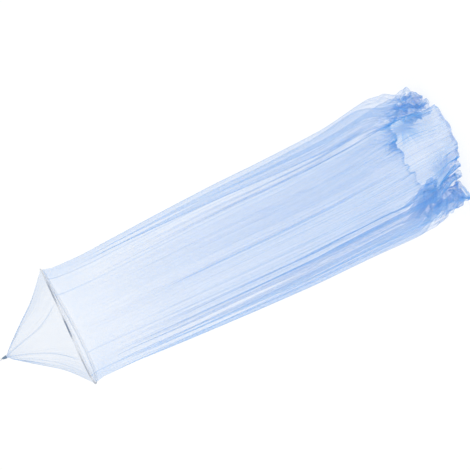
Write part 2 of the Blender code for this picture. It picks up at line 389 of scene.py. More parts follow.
class Effects:
    """Shader node groups that the finishes share, each made once."""

    def __init__(self) -> None:
        """Makes every group."""
        self.hex_net = self._hex_net()
        self.stitches = self._stitches()
        self.tone = self._tone()
        self.tape_weave = self._tape_weave()

    @staticmethod
    def _hex_net() -> NodeTree:
        """Threads of a knitted net with six-sided holes, as a mask."""
        tree, bench, given, result = node_group(
            "hex_net", ("Cloth", "Hole", "Thread"), ("Threads",))
        size = bench.add("ShaderNodeCombineXYZ", X=given["Hole"], Y=given["Hole"], Z=1.0)
        cell = bench.vector("DIVIDE", given["Cloth"], size.outputs[0])
        repeat = (1.0, math.sqrt(3.0), 1.0)
        half = (0.5, math.sqrt(3.0) / 2.0, 0.0)
        first = bench.vector("SUBTRACT", bench.vector("MODULO", cell, repeat), half)
        second = bench.vector("SUBTRACT", bench.vector(
            "MODULO", bench.vector("ADD", cell, half), repeat), half)
        nearer = bench.math("LESS_THAN", bench.vector("LENGTH", first),
                            bench.vector("LENGTH", second))
        chosen = bench.add("ShaderNodeMix", {"data_type": "VECTOR"})
        for socket, value in zip((chosen.inputs[0], chosen.inputs[4], chosen.inputs[5]),
                                 (nearer, second, first)):
            bench.feed(socket, value)
        spot = bench.vector("ABSOLUTE", chosen.outputs[1])
        slanted = bench.vector("DOT_PRODUCT", spot, half)
        upright = bench.add("ShaderNodeSeparateXYZ", Vector=spot).outputs["X"]
        to_edge = bench.math("SUBTRACT", 0.5, bench.math("MAXIMUM", slanted, upright))
        inner, outer = (bench.times(given["Thread"], share) for share in (0.3, 0.7))
        threads = bench.ramp(bench.times(to_edge, given["Hole"]), inner, outer, 1.0, 0.0)
        bench.feed(result["Threads"], threads)
        return tree

    @staticmethod
    def _stitches() -> NodeTree:
        """Row of machine stitches, as a mask, along the cloth's U."""
        tree, bench, given, result = node_group(
            "stitches", ("Cloth", "Row", "Pitch", "Width"), ("Stitches",))
        split = bench.add("ShaderNodeSeparateXYZ", Vector=given["Cloth"])
        step = bench.math("DIVIDE", split.outputs["X"], given["Pitch"])
        along = bench.math("ABSOLUTE", bench.math("SUBTRACT", bench.math("FRACT", step), 0.5))
        laid = bench.ramp(along, 0.32, 0.42, 1.0, 0.0)
        off_row = bench.math("ABSOLUTE", bench.math("SUBTRACT", split.outputs["Y"], given["Row"]))
        in_row = bench.ramp(bench.math("DIVIDE", off_row, given["Width"]), 0.3, 0.6, 1.0, 0.0)
        bench.feed(result["Stitches"], bench.times(laid, in_row))
        return tree

    @staticmethod
    def _tone() -> NodeTree:
        """Soft uneven tone between two colours, as dye, dust and handling leave it."""
        tree, bench, given, result = node_group(
            "uneven_tone", ("Place", "Colour", "Worn", "Scale"), ("Colour", "Tone"))
        cloud = bench.add("ShaderNodeTexNoise", Vector=given["Place"],
                          Scale=given["Scale"], Detail=3.0, Roughness=0.55)
        tone = bench.ramp(cloud.outputs["Fac"], 0.35, 0.7)
        bench.feed(result["Tone"], tone)
        bench.feed(result["Colour"], bench.mix(tone, given["Colour"], given["Worn"]))
        return tree

    @staticmethod
    def _tape_weave() -> NodeTree:
        """Ribs of a narrow woven tape, as a height."""
        tree, bench, given, result = node_group(
            "tape_weave", ("Place", "Rib"), ("Height",))
        split = bench.add("ShaderNodeSeparateXYZ", Vector=given["Place"])
        turns = []
        for axis, rate in (("X", 1.0), ("Z", 1.6)):
            step = bench.math("DIVIDE", split.outputs[axis], given["Rib"])
            turns.append(bench.math("SINE", bench.times(step, TURN * rate)))
        woven = bench.times(*turns)
        bench.feed(result["Height"], bench.math("MULTIPLY_ADD", woven, 0.5, 0.5))
        return tree


# ---- finishes ----


@dataclass(frozen=True)
class Finish:
    """Finish whose colour is softly uneven between two tones."""

    name: str
    colour: Colour
    worn: Colour
    cloud: float
    roughness: float
    specular: float

    def material(self, effects: Effects) -> Material:
        """Makes the finish.

        Args:
            effects: The shared node groups.

        Returns:
            The material.
        """
        material, bench, shader = new_material(self.name)
        tone = bench.group(effects.tone, Place=bench.place(), Colour=self.colour,
                           Worn=self.worn, Scale=self.cloud)
        surface = {"Base Color": tone.outputs["Colour"], "Roughness": self.roughness,
                   "Specular IOR Level": self.specular}
        surface.update(self.surface(bench, effects, tone))
        for key, value in surface.items():
            bench.feed(shader[key], value)
        return material

    def surface(self, bench: NodeBench, effects: Effects, tone: Node) -> dict[str, object]:
        """What this kind of finish adds to the uneven tone, or has in its place.

        Args:
            bench: Bench for the material's nodes.
            effects: The shared node groups.
            tone: Node of the uneven tone.

        Returns:
            Values or sockets, by the name of the shader's input.
        """
        raise NotImplementedError


@dataclass(frozen=True)
class NetFinish(Finish):
    """Sheer knitted net whose threads close up where it is seen edge-on."""

    name: str = "sheer_net"
    colour: Colour = (0.115, 0.380, 0.800, 1.0)
    worn: Colour = (0.145, 0.410, 0.820, 1.0)
    cloud: float = 5.0
    roughness: float = 0.75
    specular: float = 0.15
    coverage: float = 0.095
    hole: float = 0.0020
    thread: float = 0.00022
    thread_opacity: float = 0.45
    thread_relief: tuple[float, float] = (0.2, 0.0001)
    thinnest: float = 0.42

    def surface(self, bench: NodeBench, effects: Effects, tone: Node) -> dict[str, object]:
        """Opacity of the layers and the threads, and the threads' relief."""
        net = bench.group(effects.hex_net, Cloth=bench.cloth(), Hole=self.hole,
                          Thread=self.thread).outputs["Threads"]
        facing = bench.add("ShaderNodeLayerWeight", Blend=0.5).outputs["Facing"]
        square_on = bench.math("MAXIMUM", bench.math("SUBTRACT", 1.0, facing), self.thinnest)
        depth = bench.math("DIVIDE", bench.times(bench.layers(), self.coverage), square_on)
        beyond = bench.math("MAXIMUM", bench.math("SUBTRACT", depth, self.coverage), 0.0)
        through = bench.math("EXPONENT", bench.times(beyond, -1.0))
        threads = bench.times(net, self.thread_opacity)
        opened = bench.times(bench.math("SUBTRACT", 1.0, threads), through)
        return {"Alpha": bench.math("SUBTRACT", 1.0, opened, clamp=True),
                "Normal": bench.bump(net, *self.thread_relief)}


@dataclass(frozen=True)
class CasingFinish(Finish):
    """Net folded double over the hoop, with its row of stitches."""

    name: str = "casing_net"
    colour: Colour = (0.110, 0.170, 0.290, 1.0)
    worn: Colour = (0.170, 0.240, 0.370, 1.0)
    cloud: float = 9.0
    roughness: float = 0.8
    specular: float = 0.15
    opacity: float = 0.09
    stitch_pitch: float = 0.0045
    stitch_width: float = 0.0012
    stitch_colour: Colour = (0.060, 0.085, 0.150, 1.0)
    stitch_opacity: float = 0.13
    stitch_relief: tuple[float, float] = (0.5, 0.0004)

    def surface(self, bench: NodeBench, effects: Effects, tone: Node) -> dict[str, object]:
        """Opacity of the layers, and the stitches' colour, opacity and relief."""
        sewn = bench.group(effects.stitches, Cloth=bench.cloth(), Row=0.0,
                           Pitch=self.stitch_pitch, Width=self.stitch_width).outputs["Stitches"]
        opacity = bench.math("MAXIMUM", bench.times(bench.layers(), self.opacity),
                             bench.times(sewn, self.stitch_opacity), clamp=True)
        return {"Base Color": bench.mix(sewn, tone.outputs["Colour"], self.stitch_colour),
                "Alpha": opacity,
                "Normal": bench.bump(sewn, *self.stitch_relief)}


@dataclass(frozen=True)
class TapeFinish(Finish):
    """Grey-blue woven tape of the loop and the tip cap."""

    name: str = "woven_tape"
    colour: Colour = (0.120, 0.190, 0.290, 1.0)
    worn: Colour = (0.210, 0.290, 0.390, 1.0)
    cloud: float = 260.0
    roughness: float = 0.85
    specular: float = 0.5
    rib: float = 0.0009
    rib_wear: float = 0.35
    rib_relief: tuple[float, float] = (0.6, 0.0003)

    def surface(self, bench: NodeBench, effects: Effects, tone: Node) -> dict[str, object]:
        """Colour and relief of the ribs."""
        ribs = bench.group(effects.tape_weave, Place=bench.place(),
                           Rib=self.rib).outputs["Height"]
        worn = bench.times(ribs, self.rib_wear)
        return {"Base Color": bench.mix(worn, tone.outputs["Colour"], self.worn),
                "Normal": bench.bump(ribs, *self.rib_relief)}


@dataclass(frozen=True)
class WireFinish(Finish):
    """Drawn spring-steel wire."""

    name: str = "spring_wire"
    colour: Colour = (0.820, 0.850, 0.890, 1.0)
    worn: Colour = (0.900, 0.920, 0.940, 1.0)
    cloud: float = 60.0
    roughness: float = 0.35
    specular: float = 0.5
    worn_roughness: float = 0.55
    metallic: float = 0.9

    def surface(self, bench: NodeBench, effects: Effects, tone: Node) -> dict[str, object]:
        """Metal that is rougher where it is worn."""
        rough = bench.ramp(tone.outputs["Tone"], 0.0, 1.0, self.roughness, self.worn_roughness)
        return {"Roughness": rough, "Metallic": self.metallic}


# ---- net pieces ----


@dataclass(frozen=True)
class Grid:
    """Columns and rows of one net piece: its number, the angles of its two seams, column
    shares of the width between them, and row drops under the hoop or rises over it."""

    index: int
    start: float
    end: float
    share: Array
    level: Array

    @property
    def degrees(self) -> Array:
        """Angle of each column at the hoop."""
        return np.degrees(self.start + (self.end - self.start) * self.share)

    @property
    def from_seam(self) -> Array:
        """Share of the width between each column and its nearer seam."""
        return np.minimum(self.share, 1.0 - self.share)

    @property
    def flat(self) -> Array:
        """Zero at every point."""
        return np.zeros(np.broadcast(self.share, self.level).shape)


@dataclass
class SewnRound:
    """Four pieces of net, sewn side to side all round the hoop."""

    hang: Hang
    finish: Material
    node: str = ""
    rests_on: tuple[str, ...] = ()
    widest: float = 0.0
    narrowest: float = 0.0
    cut_length: float = 0.0
    columns: int = 0
    pieces: list[Piece] = field(default_factory=list)

    def grid(self, index: int, level: Array) -> Grid:
        """Columns and rows of one piece."""
        return Grid(index, *self.hang.seams(index), np.linspace(0.0, 1.0, self.columns)[:, None],
                    level[None, :])

    def profile(self, level: Array) -> tuple[Array, ...]:
        """Reach and lean at each level, through the sections."""
        known = self.sections.T
        return tuple(through_points(level, known[0], column) for column in known[1:])

    def piece(self, index: int) -> Piece:
        """Builds one piece, numbered from 1; each kind has its own."""
        raise NotImplementedError

    def build(self) -> None:
        """Builds the four pieces."""
        self.pieces = [self.piece(index) for index in range(1, 5)]

    def dress(self) -> None:
        """Gives the pieces their net, joins them to the body and hides the solids that they
        replace.
        """
        for index, piece in enumerate(self.pieces, start=1):
            stand_for(piece, "%s_%d" % (self.node, index), self.finish)


# ---- skirt ----


class HemSpot(NamedTuple):
    """Place on the hem: angle in degrees, reach, how far low crests stand back, depth of the
    pleats on the floor, and depth of the hanging pleats over it."""

    angle: float
    reach: float
    stand_back: float
    pleat: float
    hanging: float


class Pleat(NamedTuple):
    """Fold of a panel: share of its width, and of the depth at that place."""

    width: float
    depth: float


class Gather(NamedTuple):
    """Family of fine gathers: how many cross a panel, their weight, and how they wander."""

    count: float
    weight: float
    wander: float
    seed: int


class LongCrease(NamedTuple):
    """Crease down the skirt: angle under the hoop in degrees, the drops it runs between,
    how far it stands in, and the layers that its pinched fold adds."""

    angle: float
    start: float
    end: float
    depth: float
    fold: float


class Knot(NamedTuple):
    """Place where the low cloth is bunched: angle and half width in degrees, height over the
    floor and half height, the share of its width that it draws in, and the layers it adds."""

    angle: float
    half_width: float
    height: float
    half_height: float
    draw: float
    layers: float


class Ruffle(NamedTuple):
    """Crumples of the low cloth: seed, noise steps across a panel and in each metre up, and
    depth where the hem lies flat and where it is heaped."""

    seed: int
    across: float
    up: float
    flat: float = 0.0
    heaped: float = 0.0

    def depth(self, heap: Array) -> Array:
        """Depth at a share of the full heap."""
        return self.flat + self.heaped * heap

    def at(self, grid: Grid, to_hem: Array, across: Array = 0.0, up: Array = 0.0) -> Array:
        """The ruffle's noise, shifted by a bend of the cloth."""
        return SmoothNoise(self.seed + grid.index).at(
            grid.share * self.across + across, to_hem * self.up + up)


@dataclass
class Skirt(SewnRound):
    """Four flared panels of net, gathered by their own fullness and heaped on the floor."""

    node: str = "skirt_panel"
    rests_on: tuple[str, ...] = ("hoop_casing",)
    widest: float = 1.34
    narrowest: float = 0.478
    cut_length: float = 2.06
    columns: int = 780
    hanging_rows: int = 40
    floor_rows: int = 86
    floor_rows_height: float = 0.34
    hem_spots: tuple[HemSpot, ...] = (
        HemSpot(0, 0.338, 0.000, 0.018, 0.022),
        HemSpot(12, 0.345, 0.009, 0.018, 0.016),
        HemSpot(27, 0.338, 0.000, 0.024, 0.016),
        HemSpot(46, 0.329, 0.030, 0.093, 0.022),
        HemSpot(62, 0.358, 0.060, 0.115, 0.070),
        HemSpot(88, 0.331, 0.060, 0.046, 0.030),
        HemSpot(107, 0.302, 0.060, 0.033, 0.048),
        HemSpot(127, 0.350, 0.060, 0.020, 0.024),
        HemSpot(152, 0.395, 0.015, 0.060, 0.018),
        HemSpot(180, 0.380, 0.004, 0.035, 0.020),
        HemSpot(205, 0.362, 0.000, 0.045, 0.020),
        HemSpot(240, 0.351, 0.020, 0.130, 0.070),
        HemSpot(268, 0.301, 0.000, 0.020, 0.065),
        HemSpot(294, 0.351, 0.040, 0.127, 0.070),
        HemSpot(310, 0.353, 0.060, 0.082, 0.060),
        HemSpot(326, 0.275, 0.000, 0.040, 0.016),
        HemSpot(343, 0.300, 0.008, 0.022, 0.012),
        HemSpot(360, 0.338, 0.000, 0.018, 0.022),
    )
    # How much more cloth gathers at the hem than at the hoop, every 10 degrees from the front.
    flares: tuple[float, ...] = (
        6.22, 6.10, 6.20, 5.20, 3.30, 1.50, 1.70, 1.40, 0.80, 0.80, 0.80, 1.00,
        1.10, 3.60, 3.24, 4.87, 5.47, 6.54, 4.33, 5.03, 2.27, 3.32, 4.39, 4.32,
        3.83, 2.60, 0.80, 0.80, 0.80, 1.40, 2.30, 3.80, 4.14, 6.32, 7.53, 7.59,
    )
    flare_rise: float = 0.80
    pleats: tuple[Pleat, ...] = (
        Pleat(1.22, 1.25),
        Pleat(0.55, 1.12),
        Pleat(0.84, 1.25),
        Pleat(0.55, 0.45),
        Pleat(1.57, 1.25),
        Pleat(1.19, 0.72),
    )
    seam_strip: float = 0.0050
    seam_quiet: float = 0.012
    pleat_bunch: float = -0.05
    proud_crests: int = 13
    floor_spread: float = 0.24
    crumple_pitch: float = 0.12
    crumple_turn: float = 2.4
    crumple_depth: float = 0.016
    deep_pleat: float = 0.13
    gathers: tuple[Gather, ...] = (
        Gather(13.0, 0.25, 1.1, 11),
        Gather(31.0, 0.40, 1.6, 23),
        Gather(57.0, 0.60, 2.0, 37),
        Gather(104.0, 1.05, 2.4, 53),
    )
    gather_start: float = 0.25
    smooth_spans: int = 12
    strength_seed: int = 100
    drift_steps: tuple[float, float] = (9.0, 1.1)
    strength_steps: tuple[float, float] = (11.0, 0.9)
    mean_strength: float = 0.65
    strength_swing: float = 0.55
    least_slope: float = 0.25
    most_slope: float = 1.40
    most_puckers: float = 6.0
    creases: tuple[LongCrease, ...] = (
        LongCrease(337.0, 0.25, 1.80, 0.006, 1.3),
        LongCrease(4.7, 0.50, 1.75, 0.004, 1.0),
        LongCrease(20.0, 0.30, 1.30, 0.004, 1.1),
        LongCrease(48.0, 0.60, 1.70, 0.006, 0.9),
        LongCrease(187.0, 0.44, 2.05, 0.007, 3.6),
        LongCrease(296.0, 0.70, 1.80, 0.006, 0.6),
        LongCrease(161.0, 0.90, 1.95, 0.005, 0.9),
    )
    crease_end: float = 0.25
    crease_width: float = 2.2
    fold_width: float = 0.45
    knots: tuple[Knot, ...] = (
        Knot(237.6, 5.4, 0.056, 0.118, 0.18, 1.8),
        Knot(244.9, 27.1, 0.115, 0.082, 0.35, 0.2),
        Knot(335.5, 12.5, 0.129, 0.073, 0.02, 3.2),
        Knot(298.3, 24.4, 0.033, 0.094, 0.35, 0.7),
        Knot(300.4, 23.3, 0.025, 0.095, 0.35, 1.2),
        Knot(170.9, 3.5, 0.142, 0.060, 0.25, 0.6),
        Knot(154.5, 6.4, 0.134, 0.125, 0.30, 1.1),
        Knot(153.0, 13.0, 0.020, 0.045, 0.10, 2.0),
        Knot(95.5, 12.2, 0.022, 0.124, 0.31, 0.5),
        Knot(53.6, 16.8, 0.015, 0.138, 0.32, 1.2),
        Knot(43.9, 6.5, 0.105, 0.095, 0.33, 1.4),
        Knot(23.0, 11.0, 0.225, 0.070, 0.25, 6.5),
        Knot(166.0, 5.0, 0.015, 0.040, 0.10, 8.0),
    )
    fan_start: float = 0.05
    fan_rays: float = 11.0
    fan_length: float = 0.10
    fan_strength: float = 0.90
    flat_pleat: float = 0.04
    ruffle_top: float = 0.30
    ruffle_full: float = 0.24
    bend: Ruffle = Ruffle(420, 14.0, 9.0)
    bend_across: float = 1.2
    bend_up: float = 1.4
    wrinkle: Ruffle = Ruffle(300, 40.0, 20.0, 0.002, 0.026)
    ripple: Ruffle = Ruffle(340, 96.0, 46.0, 0.001, 0.009)
    lift: Ruffle = Ruffle(380, 30.0, 14.0, 0.001, 0.012)
    frill_count: float = 74.0
    frill_depth: float = 0.003
    frill_height: float = 0.03
    frill_steps: float = 12.0
    frill_wander: float = 1.5
    turned_fullness: float = 2.0
    top_tone: float = 0.86
    low_tone: float = 1.05
    tone_drop: float = 0.6
    low_thinning: float = 0.18
    thinning_start: float = 1.70
    thinning_run: float = 0.15
    seam_width: float = 0.004
    seam_layers: float = 1.8
    hem_turn: float = 0.020
    hem_fade: float = 1.4
    hem_layers: float = 1.4

    @property
    def sections(self) -> Array:
        """Drop, reach and lean of the skirt's sections, from under the casing to the floor."""
        reach, whole = self.hang.hoop_radius, self.hang.whole_drop
        slope = math.tan(self.hang.casing_tilt)
        return np.array((
            (0.0055, reach - 0.0055 * slope, 0.000),
            (0.0150, reach - 0.0150 * slope, 0.000),
            (0.0600, 0.2870, -0.003),
            (0.1800, 0.2885, -0.007),
            (0.3700, 0.3020, -0.010),
            (0.6200, 0.3190, -0.013),
            (0.9100, 0.3360, -0.017),
            (1.2100, 0.3480, -0.022),
            (1.5200, 0.3590, -0.020),
            (whole - 0.30, 0.3790, -0.010),
            (whole - 0.24, 0.3840, -0.007),
            (whole - 0.18, 0.3880, -0.005),
            (whole - 0.12, 0.3870, -0.003),
            (whole - 0.06, 0.3730, -0.002),
            (whole, 0.3550, 0.000),
        ))

    def hem_at(self, angle: Array) -> tuple[Array, ...]:
        """Reach, stand-back, floor pleat and hanging pleat, eased between the spots."""
        degrees = np.degrees(angle) % 360.0
        known = np.array(self.hem_spots, float)
        marks = known[:, 0]
        at = np.clip(np.searchsorted(marks, degrees, side="right") - 1, 0, len(marks) - 2)
        share = ease((degrees - marks[at]) / (marks[at + 1] - marks[at]))
        return tuple(column[at] + (column[at + 1] - column[at]) * share
                     for column in known.T[1:])

    def base_points(self, grid: Grid) -> Array:
        """The panel with its main pleats only, as its solid has them.

        Args:
            grid: The panel's columns and rows.

        Returns:
            Columns by rows points.
        """
        hang, whole, drop = self.hang, self.hang.whole_drop, grid.level
        pleats = self.pleats[2 * grid.index:] + self.pleats[:2 * grid.index]
        edge = 0.5 * hang.seam_gap / hang.hoop_radius
        strip = self.seam_strip / hang.hoop_radius
        wide = grid.end - grid.start
        top_angle = grid.start + edge + (wide - 2.0 * edge) * grid.share
        between = np.clip((top_angle - grid.start - strip) / (wide - 2.0 * strip), 0.0, 1.0)
        widths, depths = np.array(pleats).T
        marks = np.concatenate(([0.0], np.cumsum(widths))) / widths.sum()
        phase = np.interp(between, marks, np.arange(len(marks)))
        wave = ease(0.5 - 0.5 * np.cos(TURN * phase))
        wave = wave * depths[np.clip(phase.astype(int), 0, len(depths) - 1)]
        reach, lean = self.profile(drop)
        fall = drop / whole
        angle = top_angle + self.pleat_bunch * fall * np.sin(2.0 * top_angle)
        straight = self.sections[1, 0]
        fullness = np.maximum(drop - straight, 0.0) / (whole - straight)
        hem_reach, stand_back, floor_pleat, hanging_pleat = self.hem_at(angle)
        on_floor = ease((drop - whole + self.floor_spread) / self.floor_spread)
        reach = reach + (hem_reach - reach) * on_floor
        pleat = hanging_pleat + (floor_pleat - hanging_pleat) * on_floor
        low_crest = 0.5 - 0.5 * np.cos(self.proud_crests * top_angle)
        reach = reach - fullness * (stand_back * low_crest + pleat * wave)
        crumple = np.sin(TURN * (whole - drop) / self.crumple_pitch + self.crumple_turn * phase)
        reach = reach + self.crumple_depth * on_floor * crumple * pleat / self.deep_pleat
        height = hang.hoop_z - drop + hang.hoop_lift(top_angle) * (1.0 - fall)
        return hang.around(angle, reach, height, lean)

    def closeness(self, grid: Grid) -> Array:
        """Width of cloth that gathers in each unit of share."""
        marks = np.linspace(0.0, 360.0, len(self.flares), endpoint=False)
        flare = np.interp(grid.degrees, marks, self.flares, period=360.0)
        fallen = (grid.level / self.hang.whole_drop) ** self.flare_rise
        return self.narrowest * (1.0 + (flare - 1.0) * fallen)

    def quiet(self, grid: Grid) -> Array:
        """Share of their full depth that the small folds have near a seam."""
        return ease(grid.from_seam * self.narrowest / self.seam_quiet)

    def gather(self, grid: Grid, points: Array) -> tuple[Array, Array]:
        """Fine gathers that take up the cloth which the main pleats leave over.

        Args:
            grid: The panel's columns and rows.
            points: The pleated sheet.

        Returns:
            Shift of each point, outwards where positive, and the layers that puckers too
            small to model add up to.
        """
        share, drop = grid.share, grid.level
        run = np.linalg.norm(np.gradient(points, axis=0)[..., :2], axis=-1) * (self.columns - 1)
        span = self.columns // self.smooth_spans
        kernel = np.hanning(span + 2)[1:-1]
        kernel /= kernel.sum()
        padded = np.pad(run, ((span, span), (0, 0)), mode="reflect")
        run = np.apply_along_axis(lambda line: np.convolve(line, kernel, "same"), 0, padded)
        run = run[span:-span]
        ratio = self.closeness(grid) / run
        slope = np.sqrt(np.maximum(2.0 * (ratio ** 2 - 1.0), 0.0))
        slope = np.clip(slope, self.least_slope, self.most_slope) * ease(drop / self.gather_start)
        puckers = np.clip(ratio / np.sqrt(1.0 + 0.5 * slope ** 2), 1.0, self.most_puckers)
        total = grid.flat
        for gather in self.gathers:
            seed = gather.seed + grid.index
            drift = SmoothNoise(seed).at(share * self.drift_steps[0], drop * self.drift_steps[1])
            swing = SmoothNoise(seed + self.strength_seed).at(
                share * self.strength_steps[0], drop * self.strength_steps[1])
            weight = gather.weight * (self.mean_strength + self.strength_swing * swing)
            wave = np.sin(TURN * (gather.count * share + gather.wander * drift))
            total += weight * wave * slope * run / (TURN * gather.count)
        return total * self.quiet(grid), puckers

    def crease(self, grid: Grid) -> tuple[Array, Array]:
        """How far the long creases stand in at each point, and the layers they add."""
        inwards, folded = grid.flat, grid.flat
        for line in self.creases:
            away = degrees_from(grid.degrees, line.angle)
            run = (ease((grid.level - line.start) / self.crease_end)
                   * ease((line.end - grid.level) / self.crease_end))
            inwards += line.depth * run * bell(away, self.crease_width)
            folded += line.fold * run * bell(away, self.fold_width)
        return inwards, folded

    def knot(self, grid: Grid, points: Array) -> tuple[Array, Array]:
        """Bunching of the low cloth about its knots.

        Args:
            grid: The panel's columns and rows.
            points: The sheet so far.

        Returns:
            Shift round the axis, towards rising angles, and the layers that the knots add.
        """
        angle = np.arctan2(points[..., 0], -points[..., 1])
        reach = np.hypot(points[..., 0], points[..., 1])
        height = self.hang.whole_drop - grid.level
        aside, bunched = grid.flat, grid.flat
        for knot in self.knots:
            away = degrees_from(np.degrees(angle), knot.angle)
            over = height - knot.height
            near = bell(away, knot.half_width) * bell(over, knot.half_height)
            sideways = np.radians(away) * reach
            aside -= knot.draw * sideways * near
            ray = self.fan_rays * np.abs(np.arctan2(over, sideways))
            fan = SmoothNoise(int(10.0 * knot.angle)).at(ray, height / self.fan_length)
            spread = ease(np.hypot(over, sideways) / self.fan_start)
            bunched += knot.layers * near * (1.0 + self.fan_strength * spread * fan)
        return aside, bunched

    def heap_shift(self, grid: Grid, points: Array) -> tuple[Array, Array]:
        """Crumples of the lowest cloth.

        Args:
            grid: The panel's columns and rows.
            points: The gathered sheet.

        Returns:
            Shift outwards and shift upwards of each point.
        """
        to_hem = self.hang.whole_drop - grid.level
        angle = np.arctan2(points[..., 0], -points[..., 1])
        heaped = self.hem_at(angle)[2] - self.flat_pleat
        heap = np.clip(heaped / (self.deep_pleat - self.flat_pleat), 0.0, 1.0)
        low = ease((self.ruffle_top - to_hem) / self.ruffle_full)
        bend = self.bend.at(grid, to_hem)
        ridges = 1.0 - 2.0 * np.abs(self.wrinkle.at(
            grid, to_hem, self.bend_across * bend, self.bend_up * bend))
        ripples = self.ripple.at(grid, to_hem, bend)
        outwards = low * (self.wrinkle.depth(heap) * ridges + self.ripple.depth(heap) * ripples)
        off_floor = ease(to_hem / self.frill_height)
        upwards = low * self.lift.depth(heap) * self.lift.at(grid, to_hem) * off_floor
        uneven = SmoothNoise(self.ripple.seed + grid.index).at(grid.share * self.frill_steps, 0.0)
        frill = np.sin(TURN * (self.frill_count * grid.share + self.frill_wander * uneven))
        outwards = outwards + self.frill_depth * frill * ease(1.0 - to_hem / self.frill_height)
        return outwards * self.quiet(grid), upwards * self.quiet(grid)

    def tone(self, grid: Grid, angle: Array, outward: Array) -> Array:
        """How dense the net looks at each point, beside its layers.

        Args:
            grid: The panel's columns and rows.
            angle: Angle of each point from the front.
            outward: Level direction that the pleated sheet faces.

        Returns:
            Factor of the layers.
        """
        tone = self.top_tone + (self.low_tone - self.top_tone) * ease(grid.level / self.tone_drop)
        frontal = np.abs(np.cos(angle))
        turned = np.maximum(np.abs(outward[..., 1]) - frontal, 0.0) * frontal
        return tone * (1.0 + self.turned_fullness * turned)

    def piece(self, index: int) -> Piece:
        """Builds one panel.

        Args:
            index: The panel's number, from 1.

        Returns:
            The panel's object.
        """
        whole = self.hang.whole_drop
        bend = whole - self.floor_rows_height
        upper = np.linspace(self.sections[0, 0], bend, self.hanging_rows, endpoint=False)
        lower = np.linspace(bend, whole, self.floor_rows)
        grid = self.grid(index, np.concatenate((upper, lower)))
        points = self.base_points(grid)
        side = np.gradient(points, axis=0)[..., :2]
        side /= np.maximum(np.linalg.norm(side, axis=-1, keepdims=True), 1e-9)
        outward = np.stack((side[..., 1], -side[..., 0]), axis=-1)
        shift, puckers = self.gather(grid, points)
        inwards, folded = self.crease(grid)
        points[..., :2] += outward * (shift - inwards)[..., None]
        aside, bunched = self.knot(grid, points)
        angle = np.arctan2(points[..., 0], -points[..., 1])
        outwards, upwards = self.heap_shift(grid, points)
        points[..., :2] += outward * outwards[..., None]
        points[..., 2] += upwards
        points[..., 0] += aside * np.cos(angle)
        points[..., 1] += aside * np.sin(angle)
        across = grid.flat
        across[1:] = np.cumsum(np.linalg.norm(np.diff(points, axis=0), axis=-1), axis=0)
        cloth = side_by_side(SKIRT_CLOTH + across - 0.5 * across[-1:], SKIRT_CLOTH - grid.level)
        seam = np.minimum(across, across[-1:] - across) < self.seam_width
        hem = ease(self.hem_fade - (whole - grid.level) / self.hem_turn)
        thinned = ease((grid.level - self.thinning_start) / self.thinning_run)
        puckers = puckers * (1.0 - self.low_thinning * thinned)
        layers = (np.maximum(puckers + bunched, 1.0) * self.tone(grid, angle, outward) + folded
                  + self.seam_layers * seam + self.hem_layers * hem)
        return sheet_object("net_skirt_panel_%d" % index, points, cloth, layers)


# ---- roof ----


class Crease(NamedTuple):
    """Crease down the roof: angles at the hoop, half way and the tip in degrees, depth,
    width, and the layers that its pinched fold adds."""

    low: float
    middle: float
    high: float
    depth: float
    width: float
    fold: float


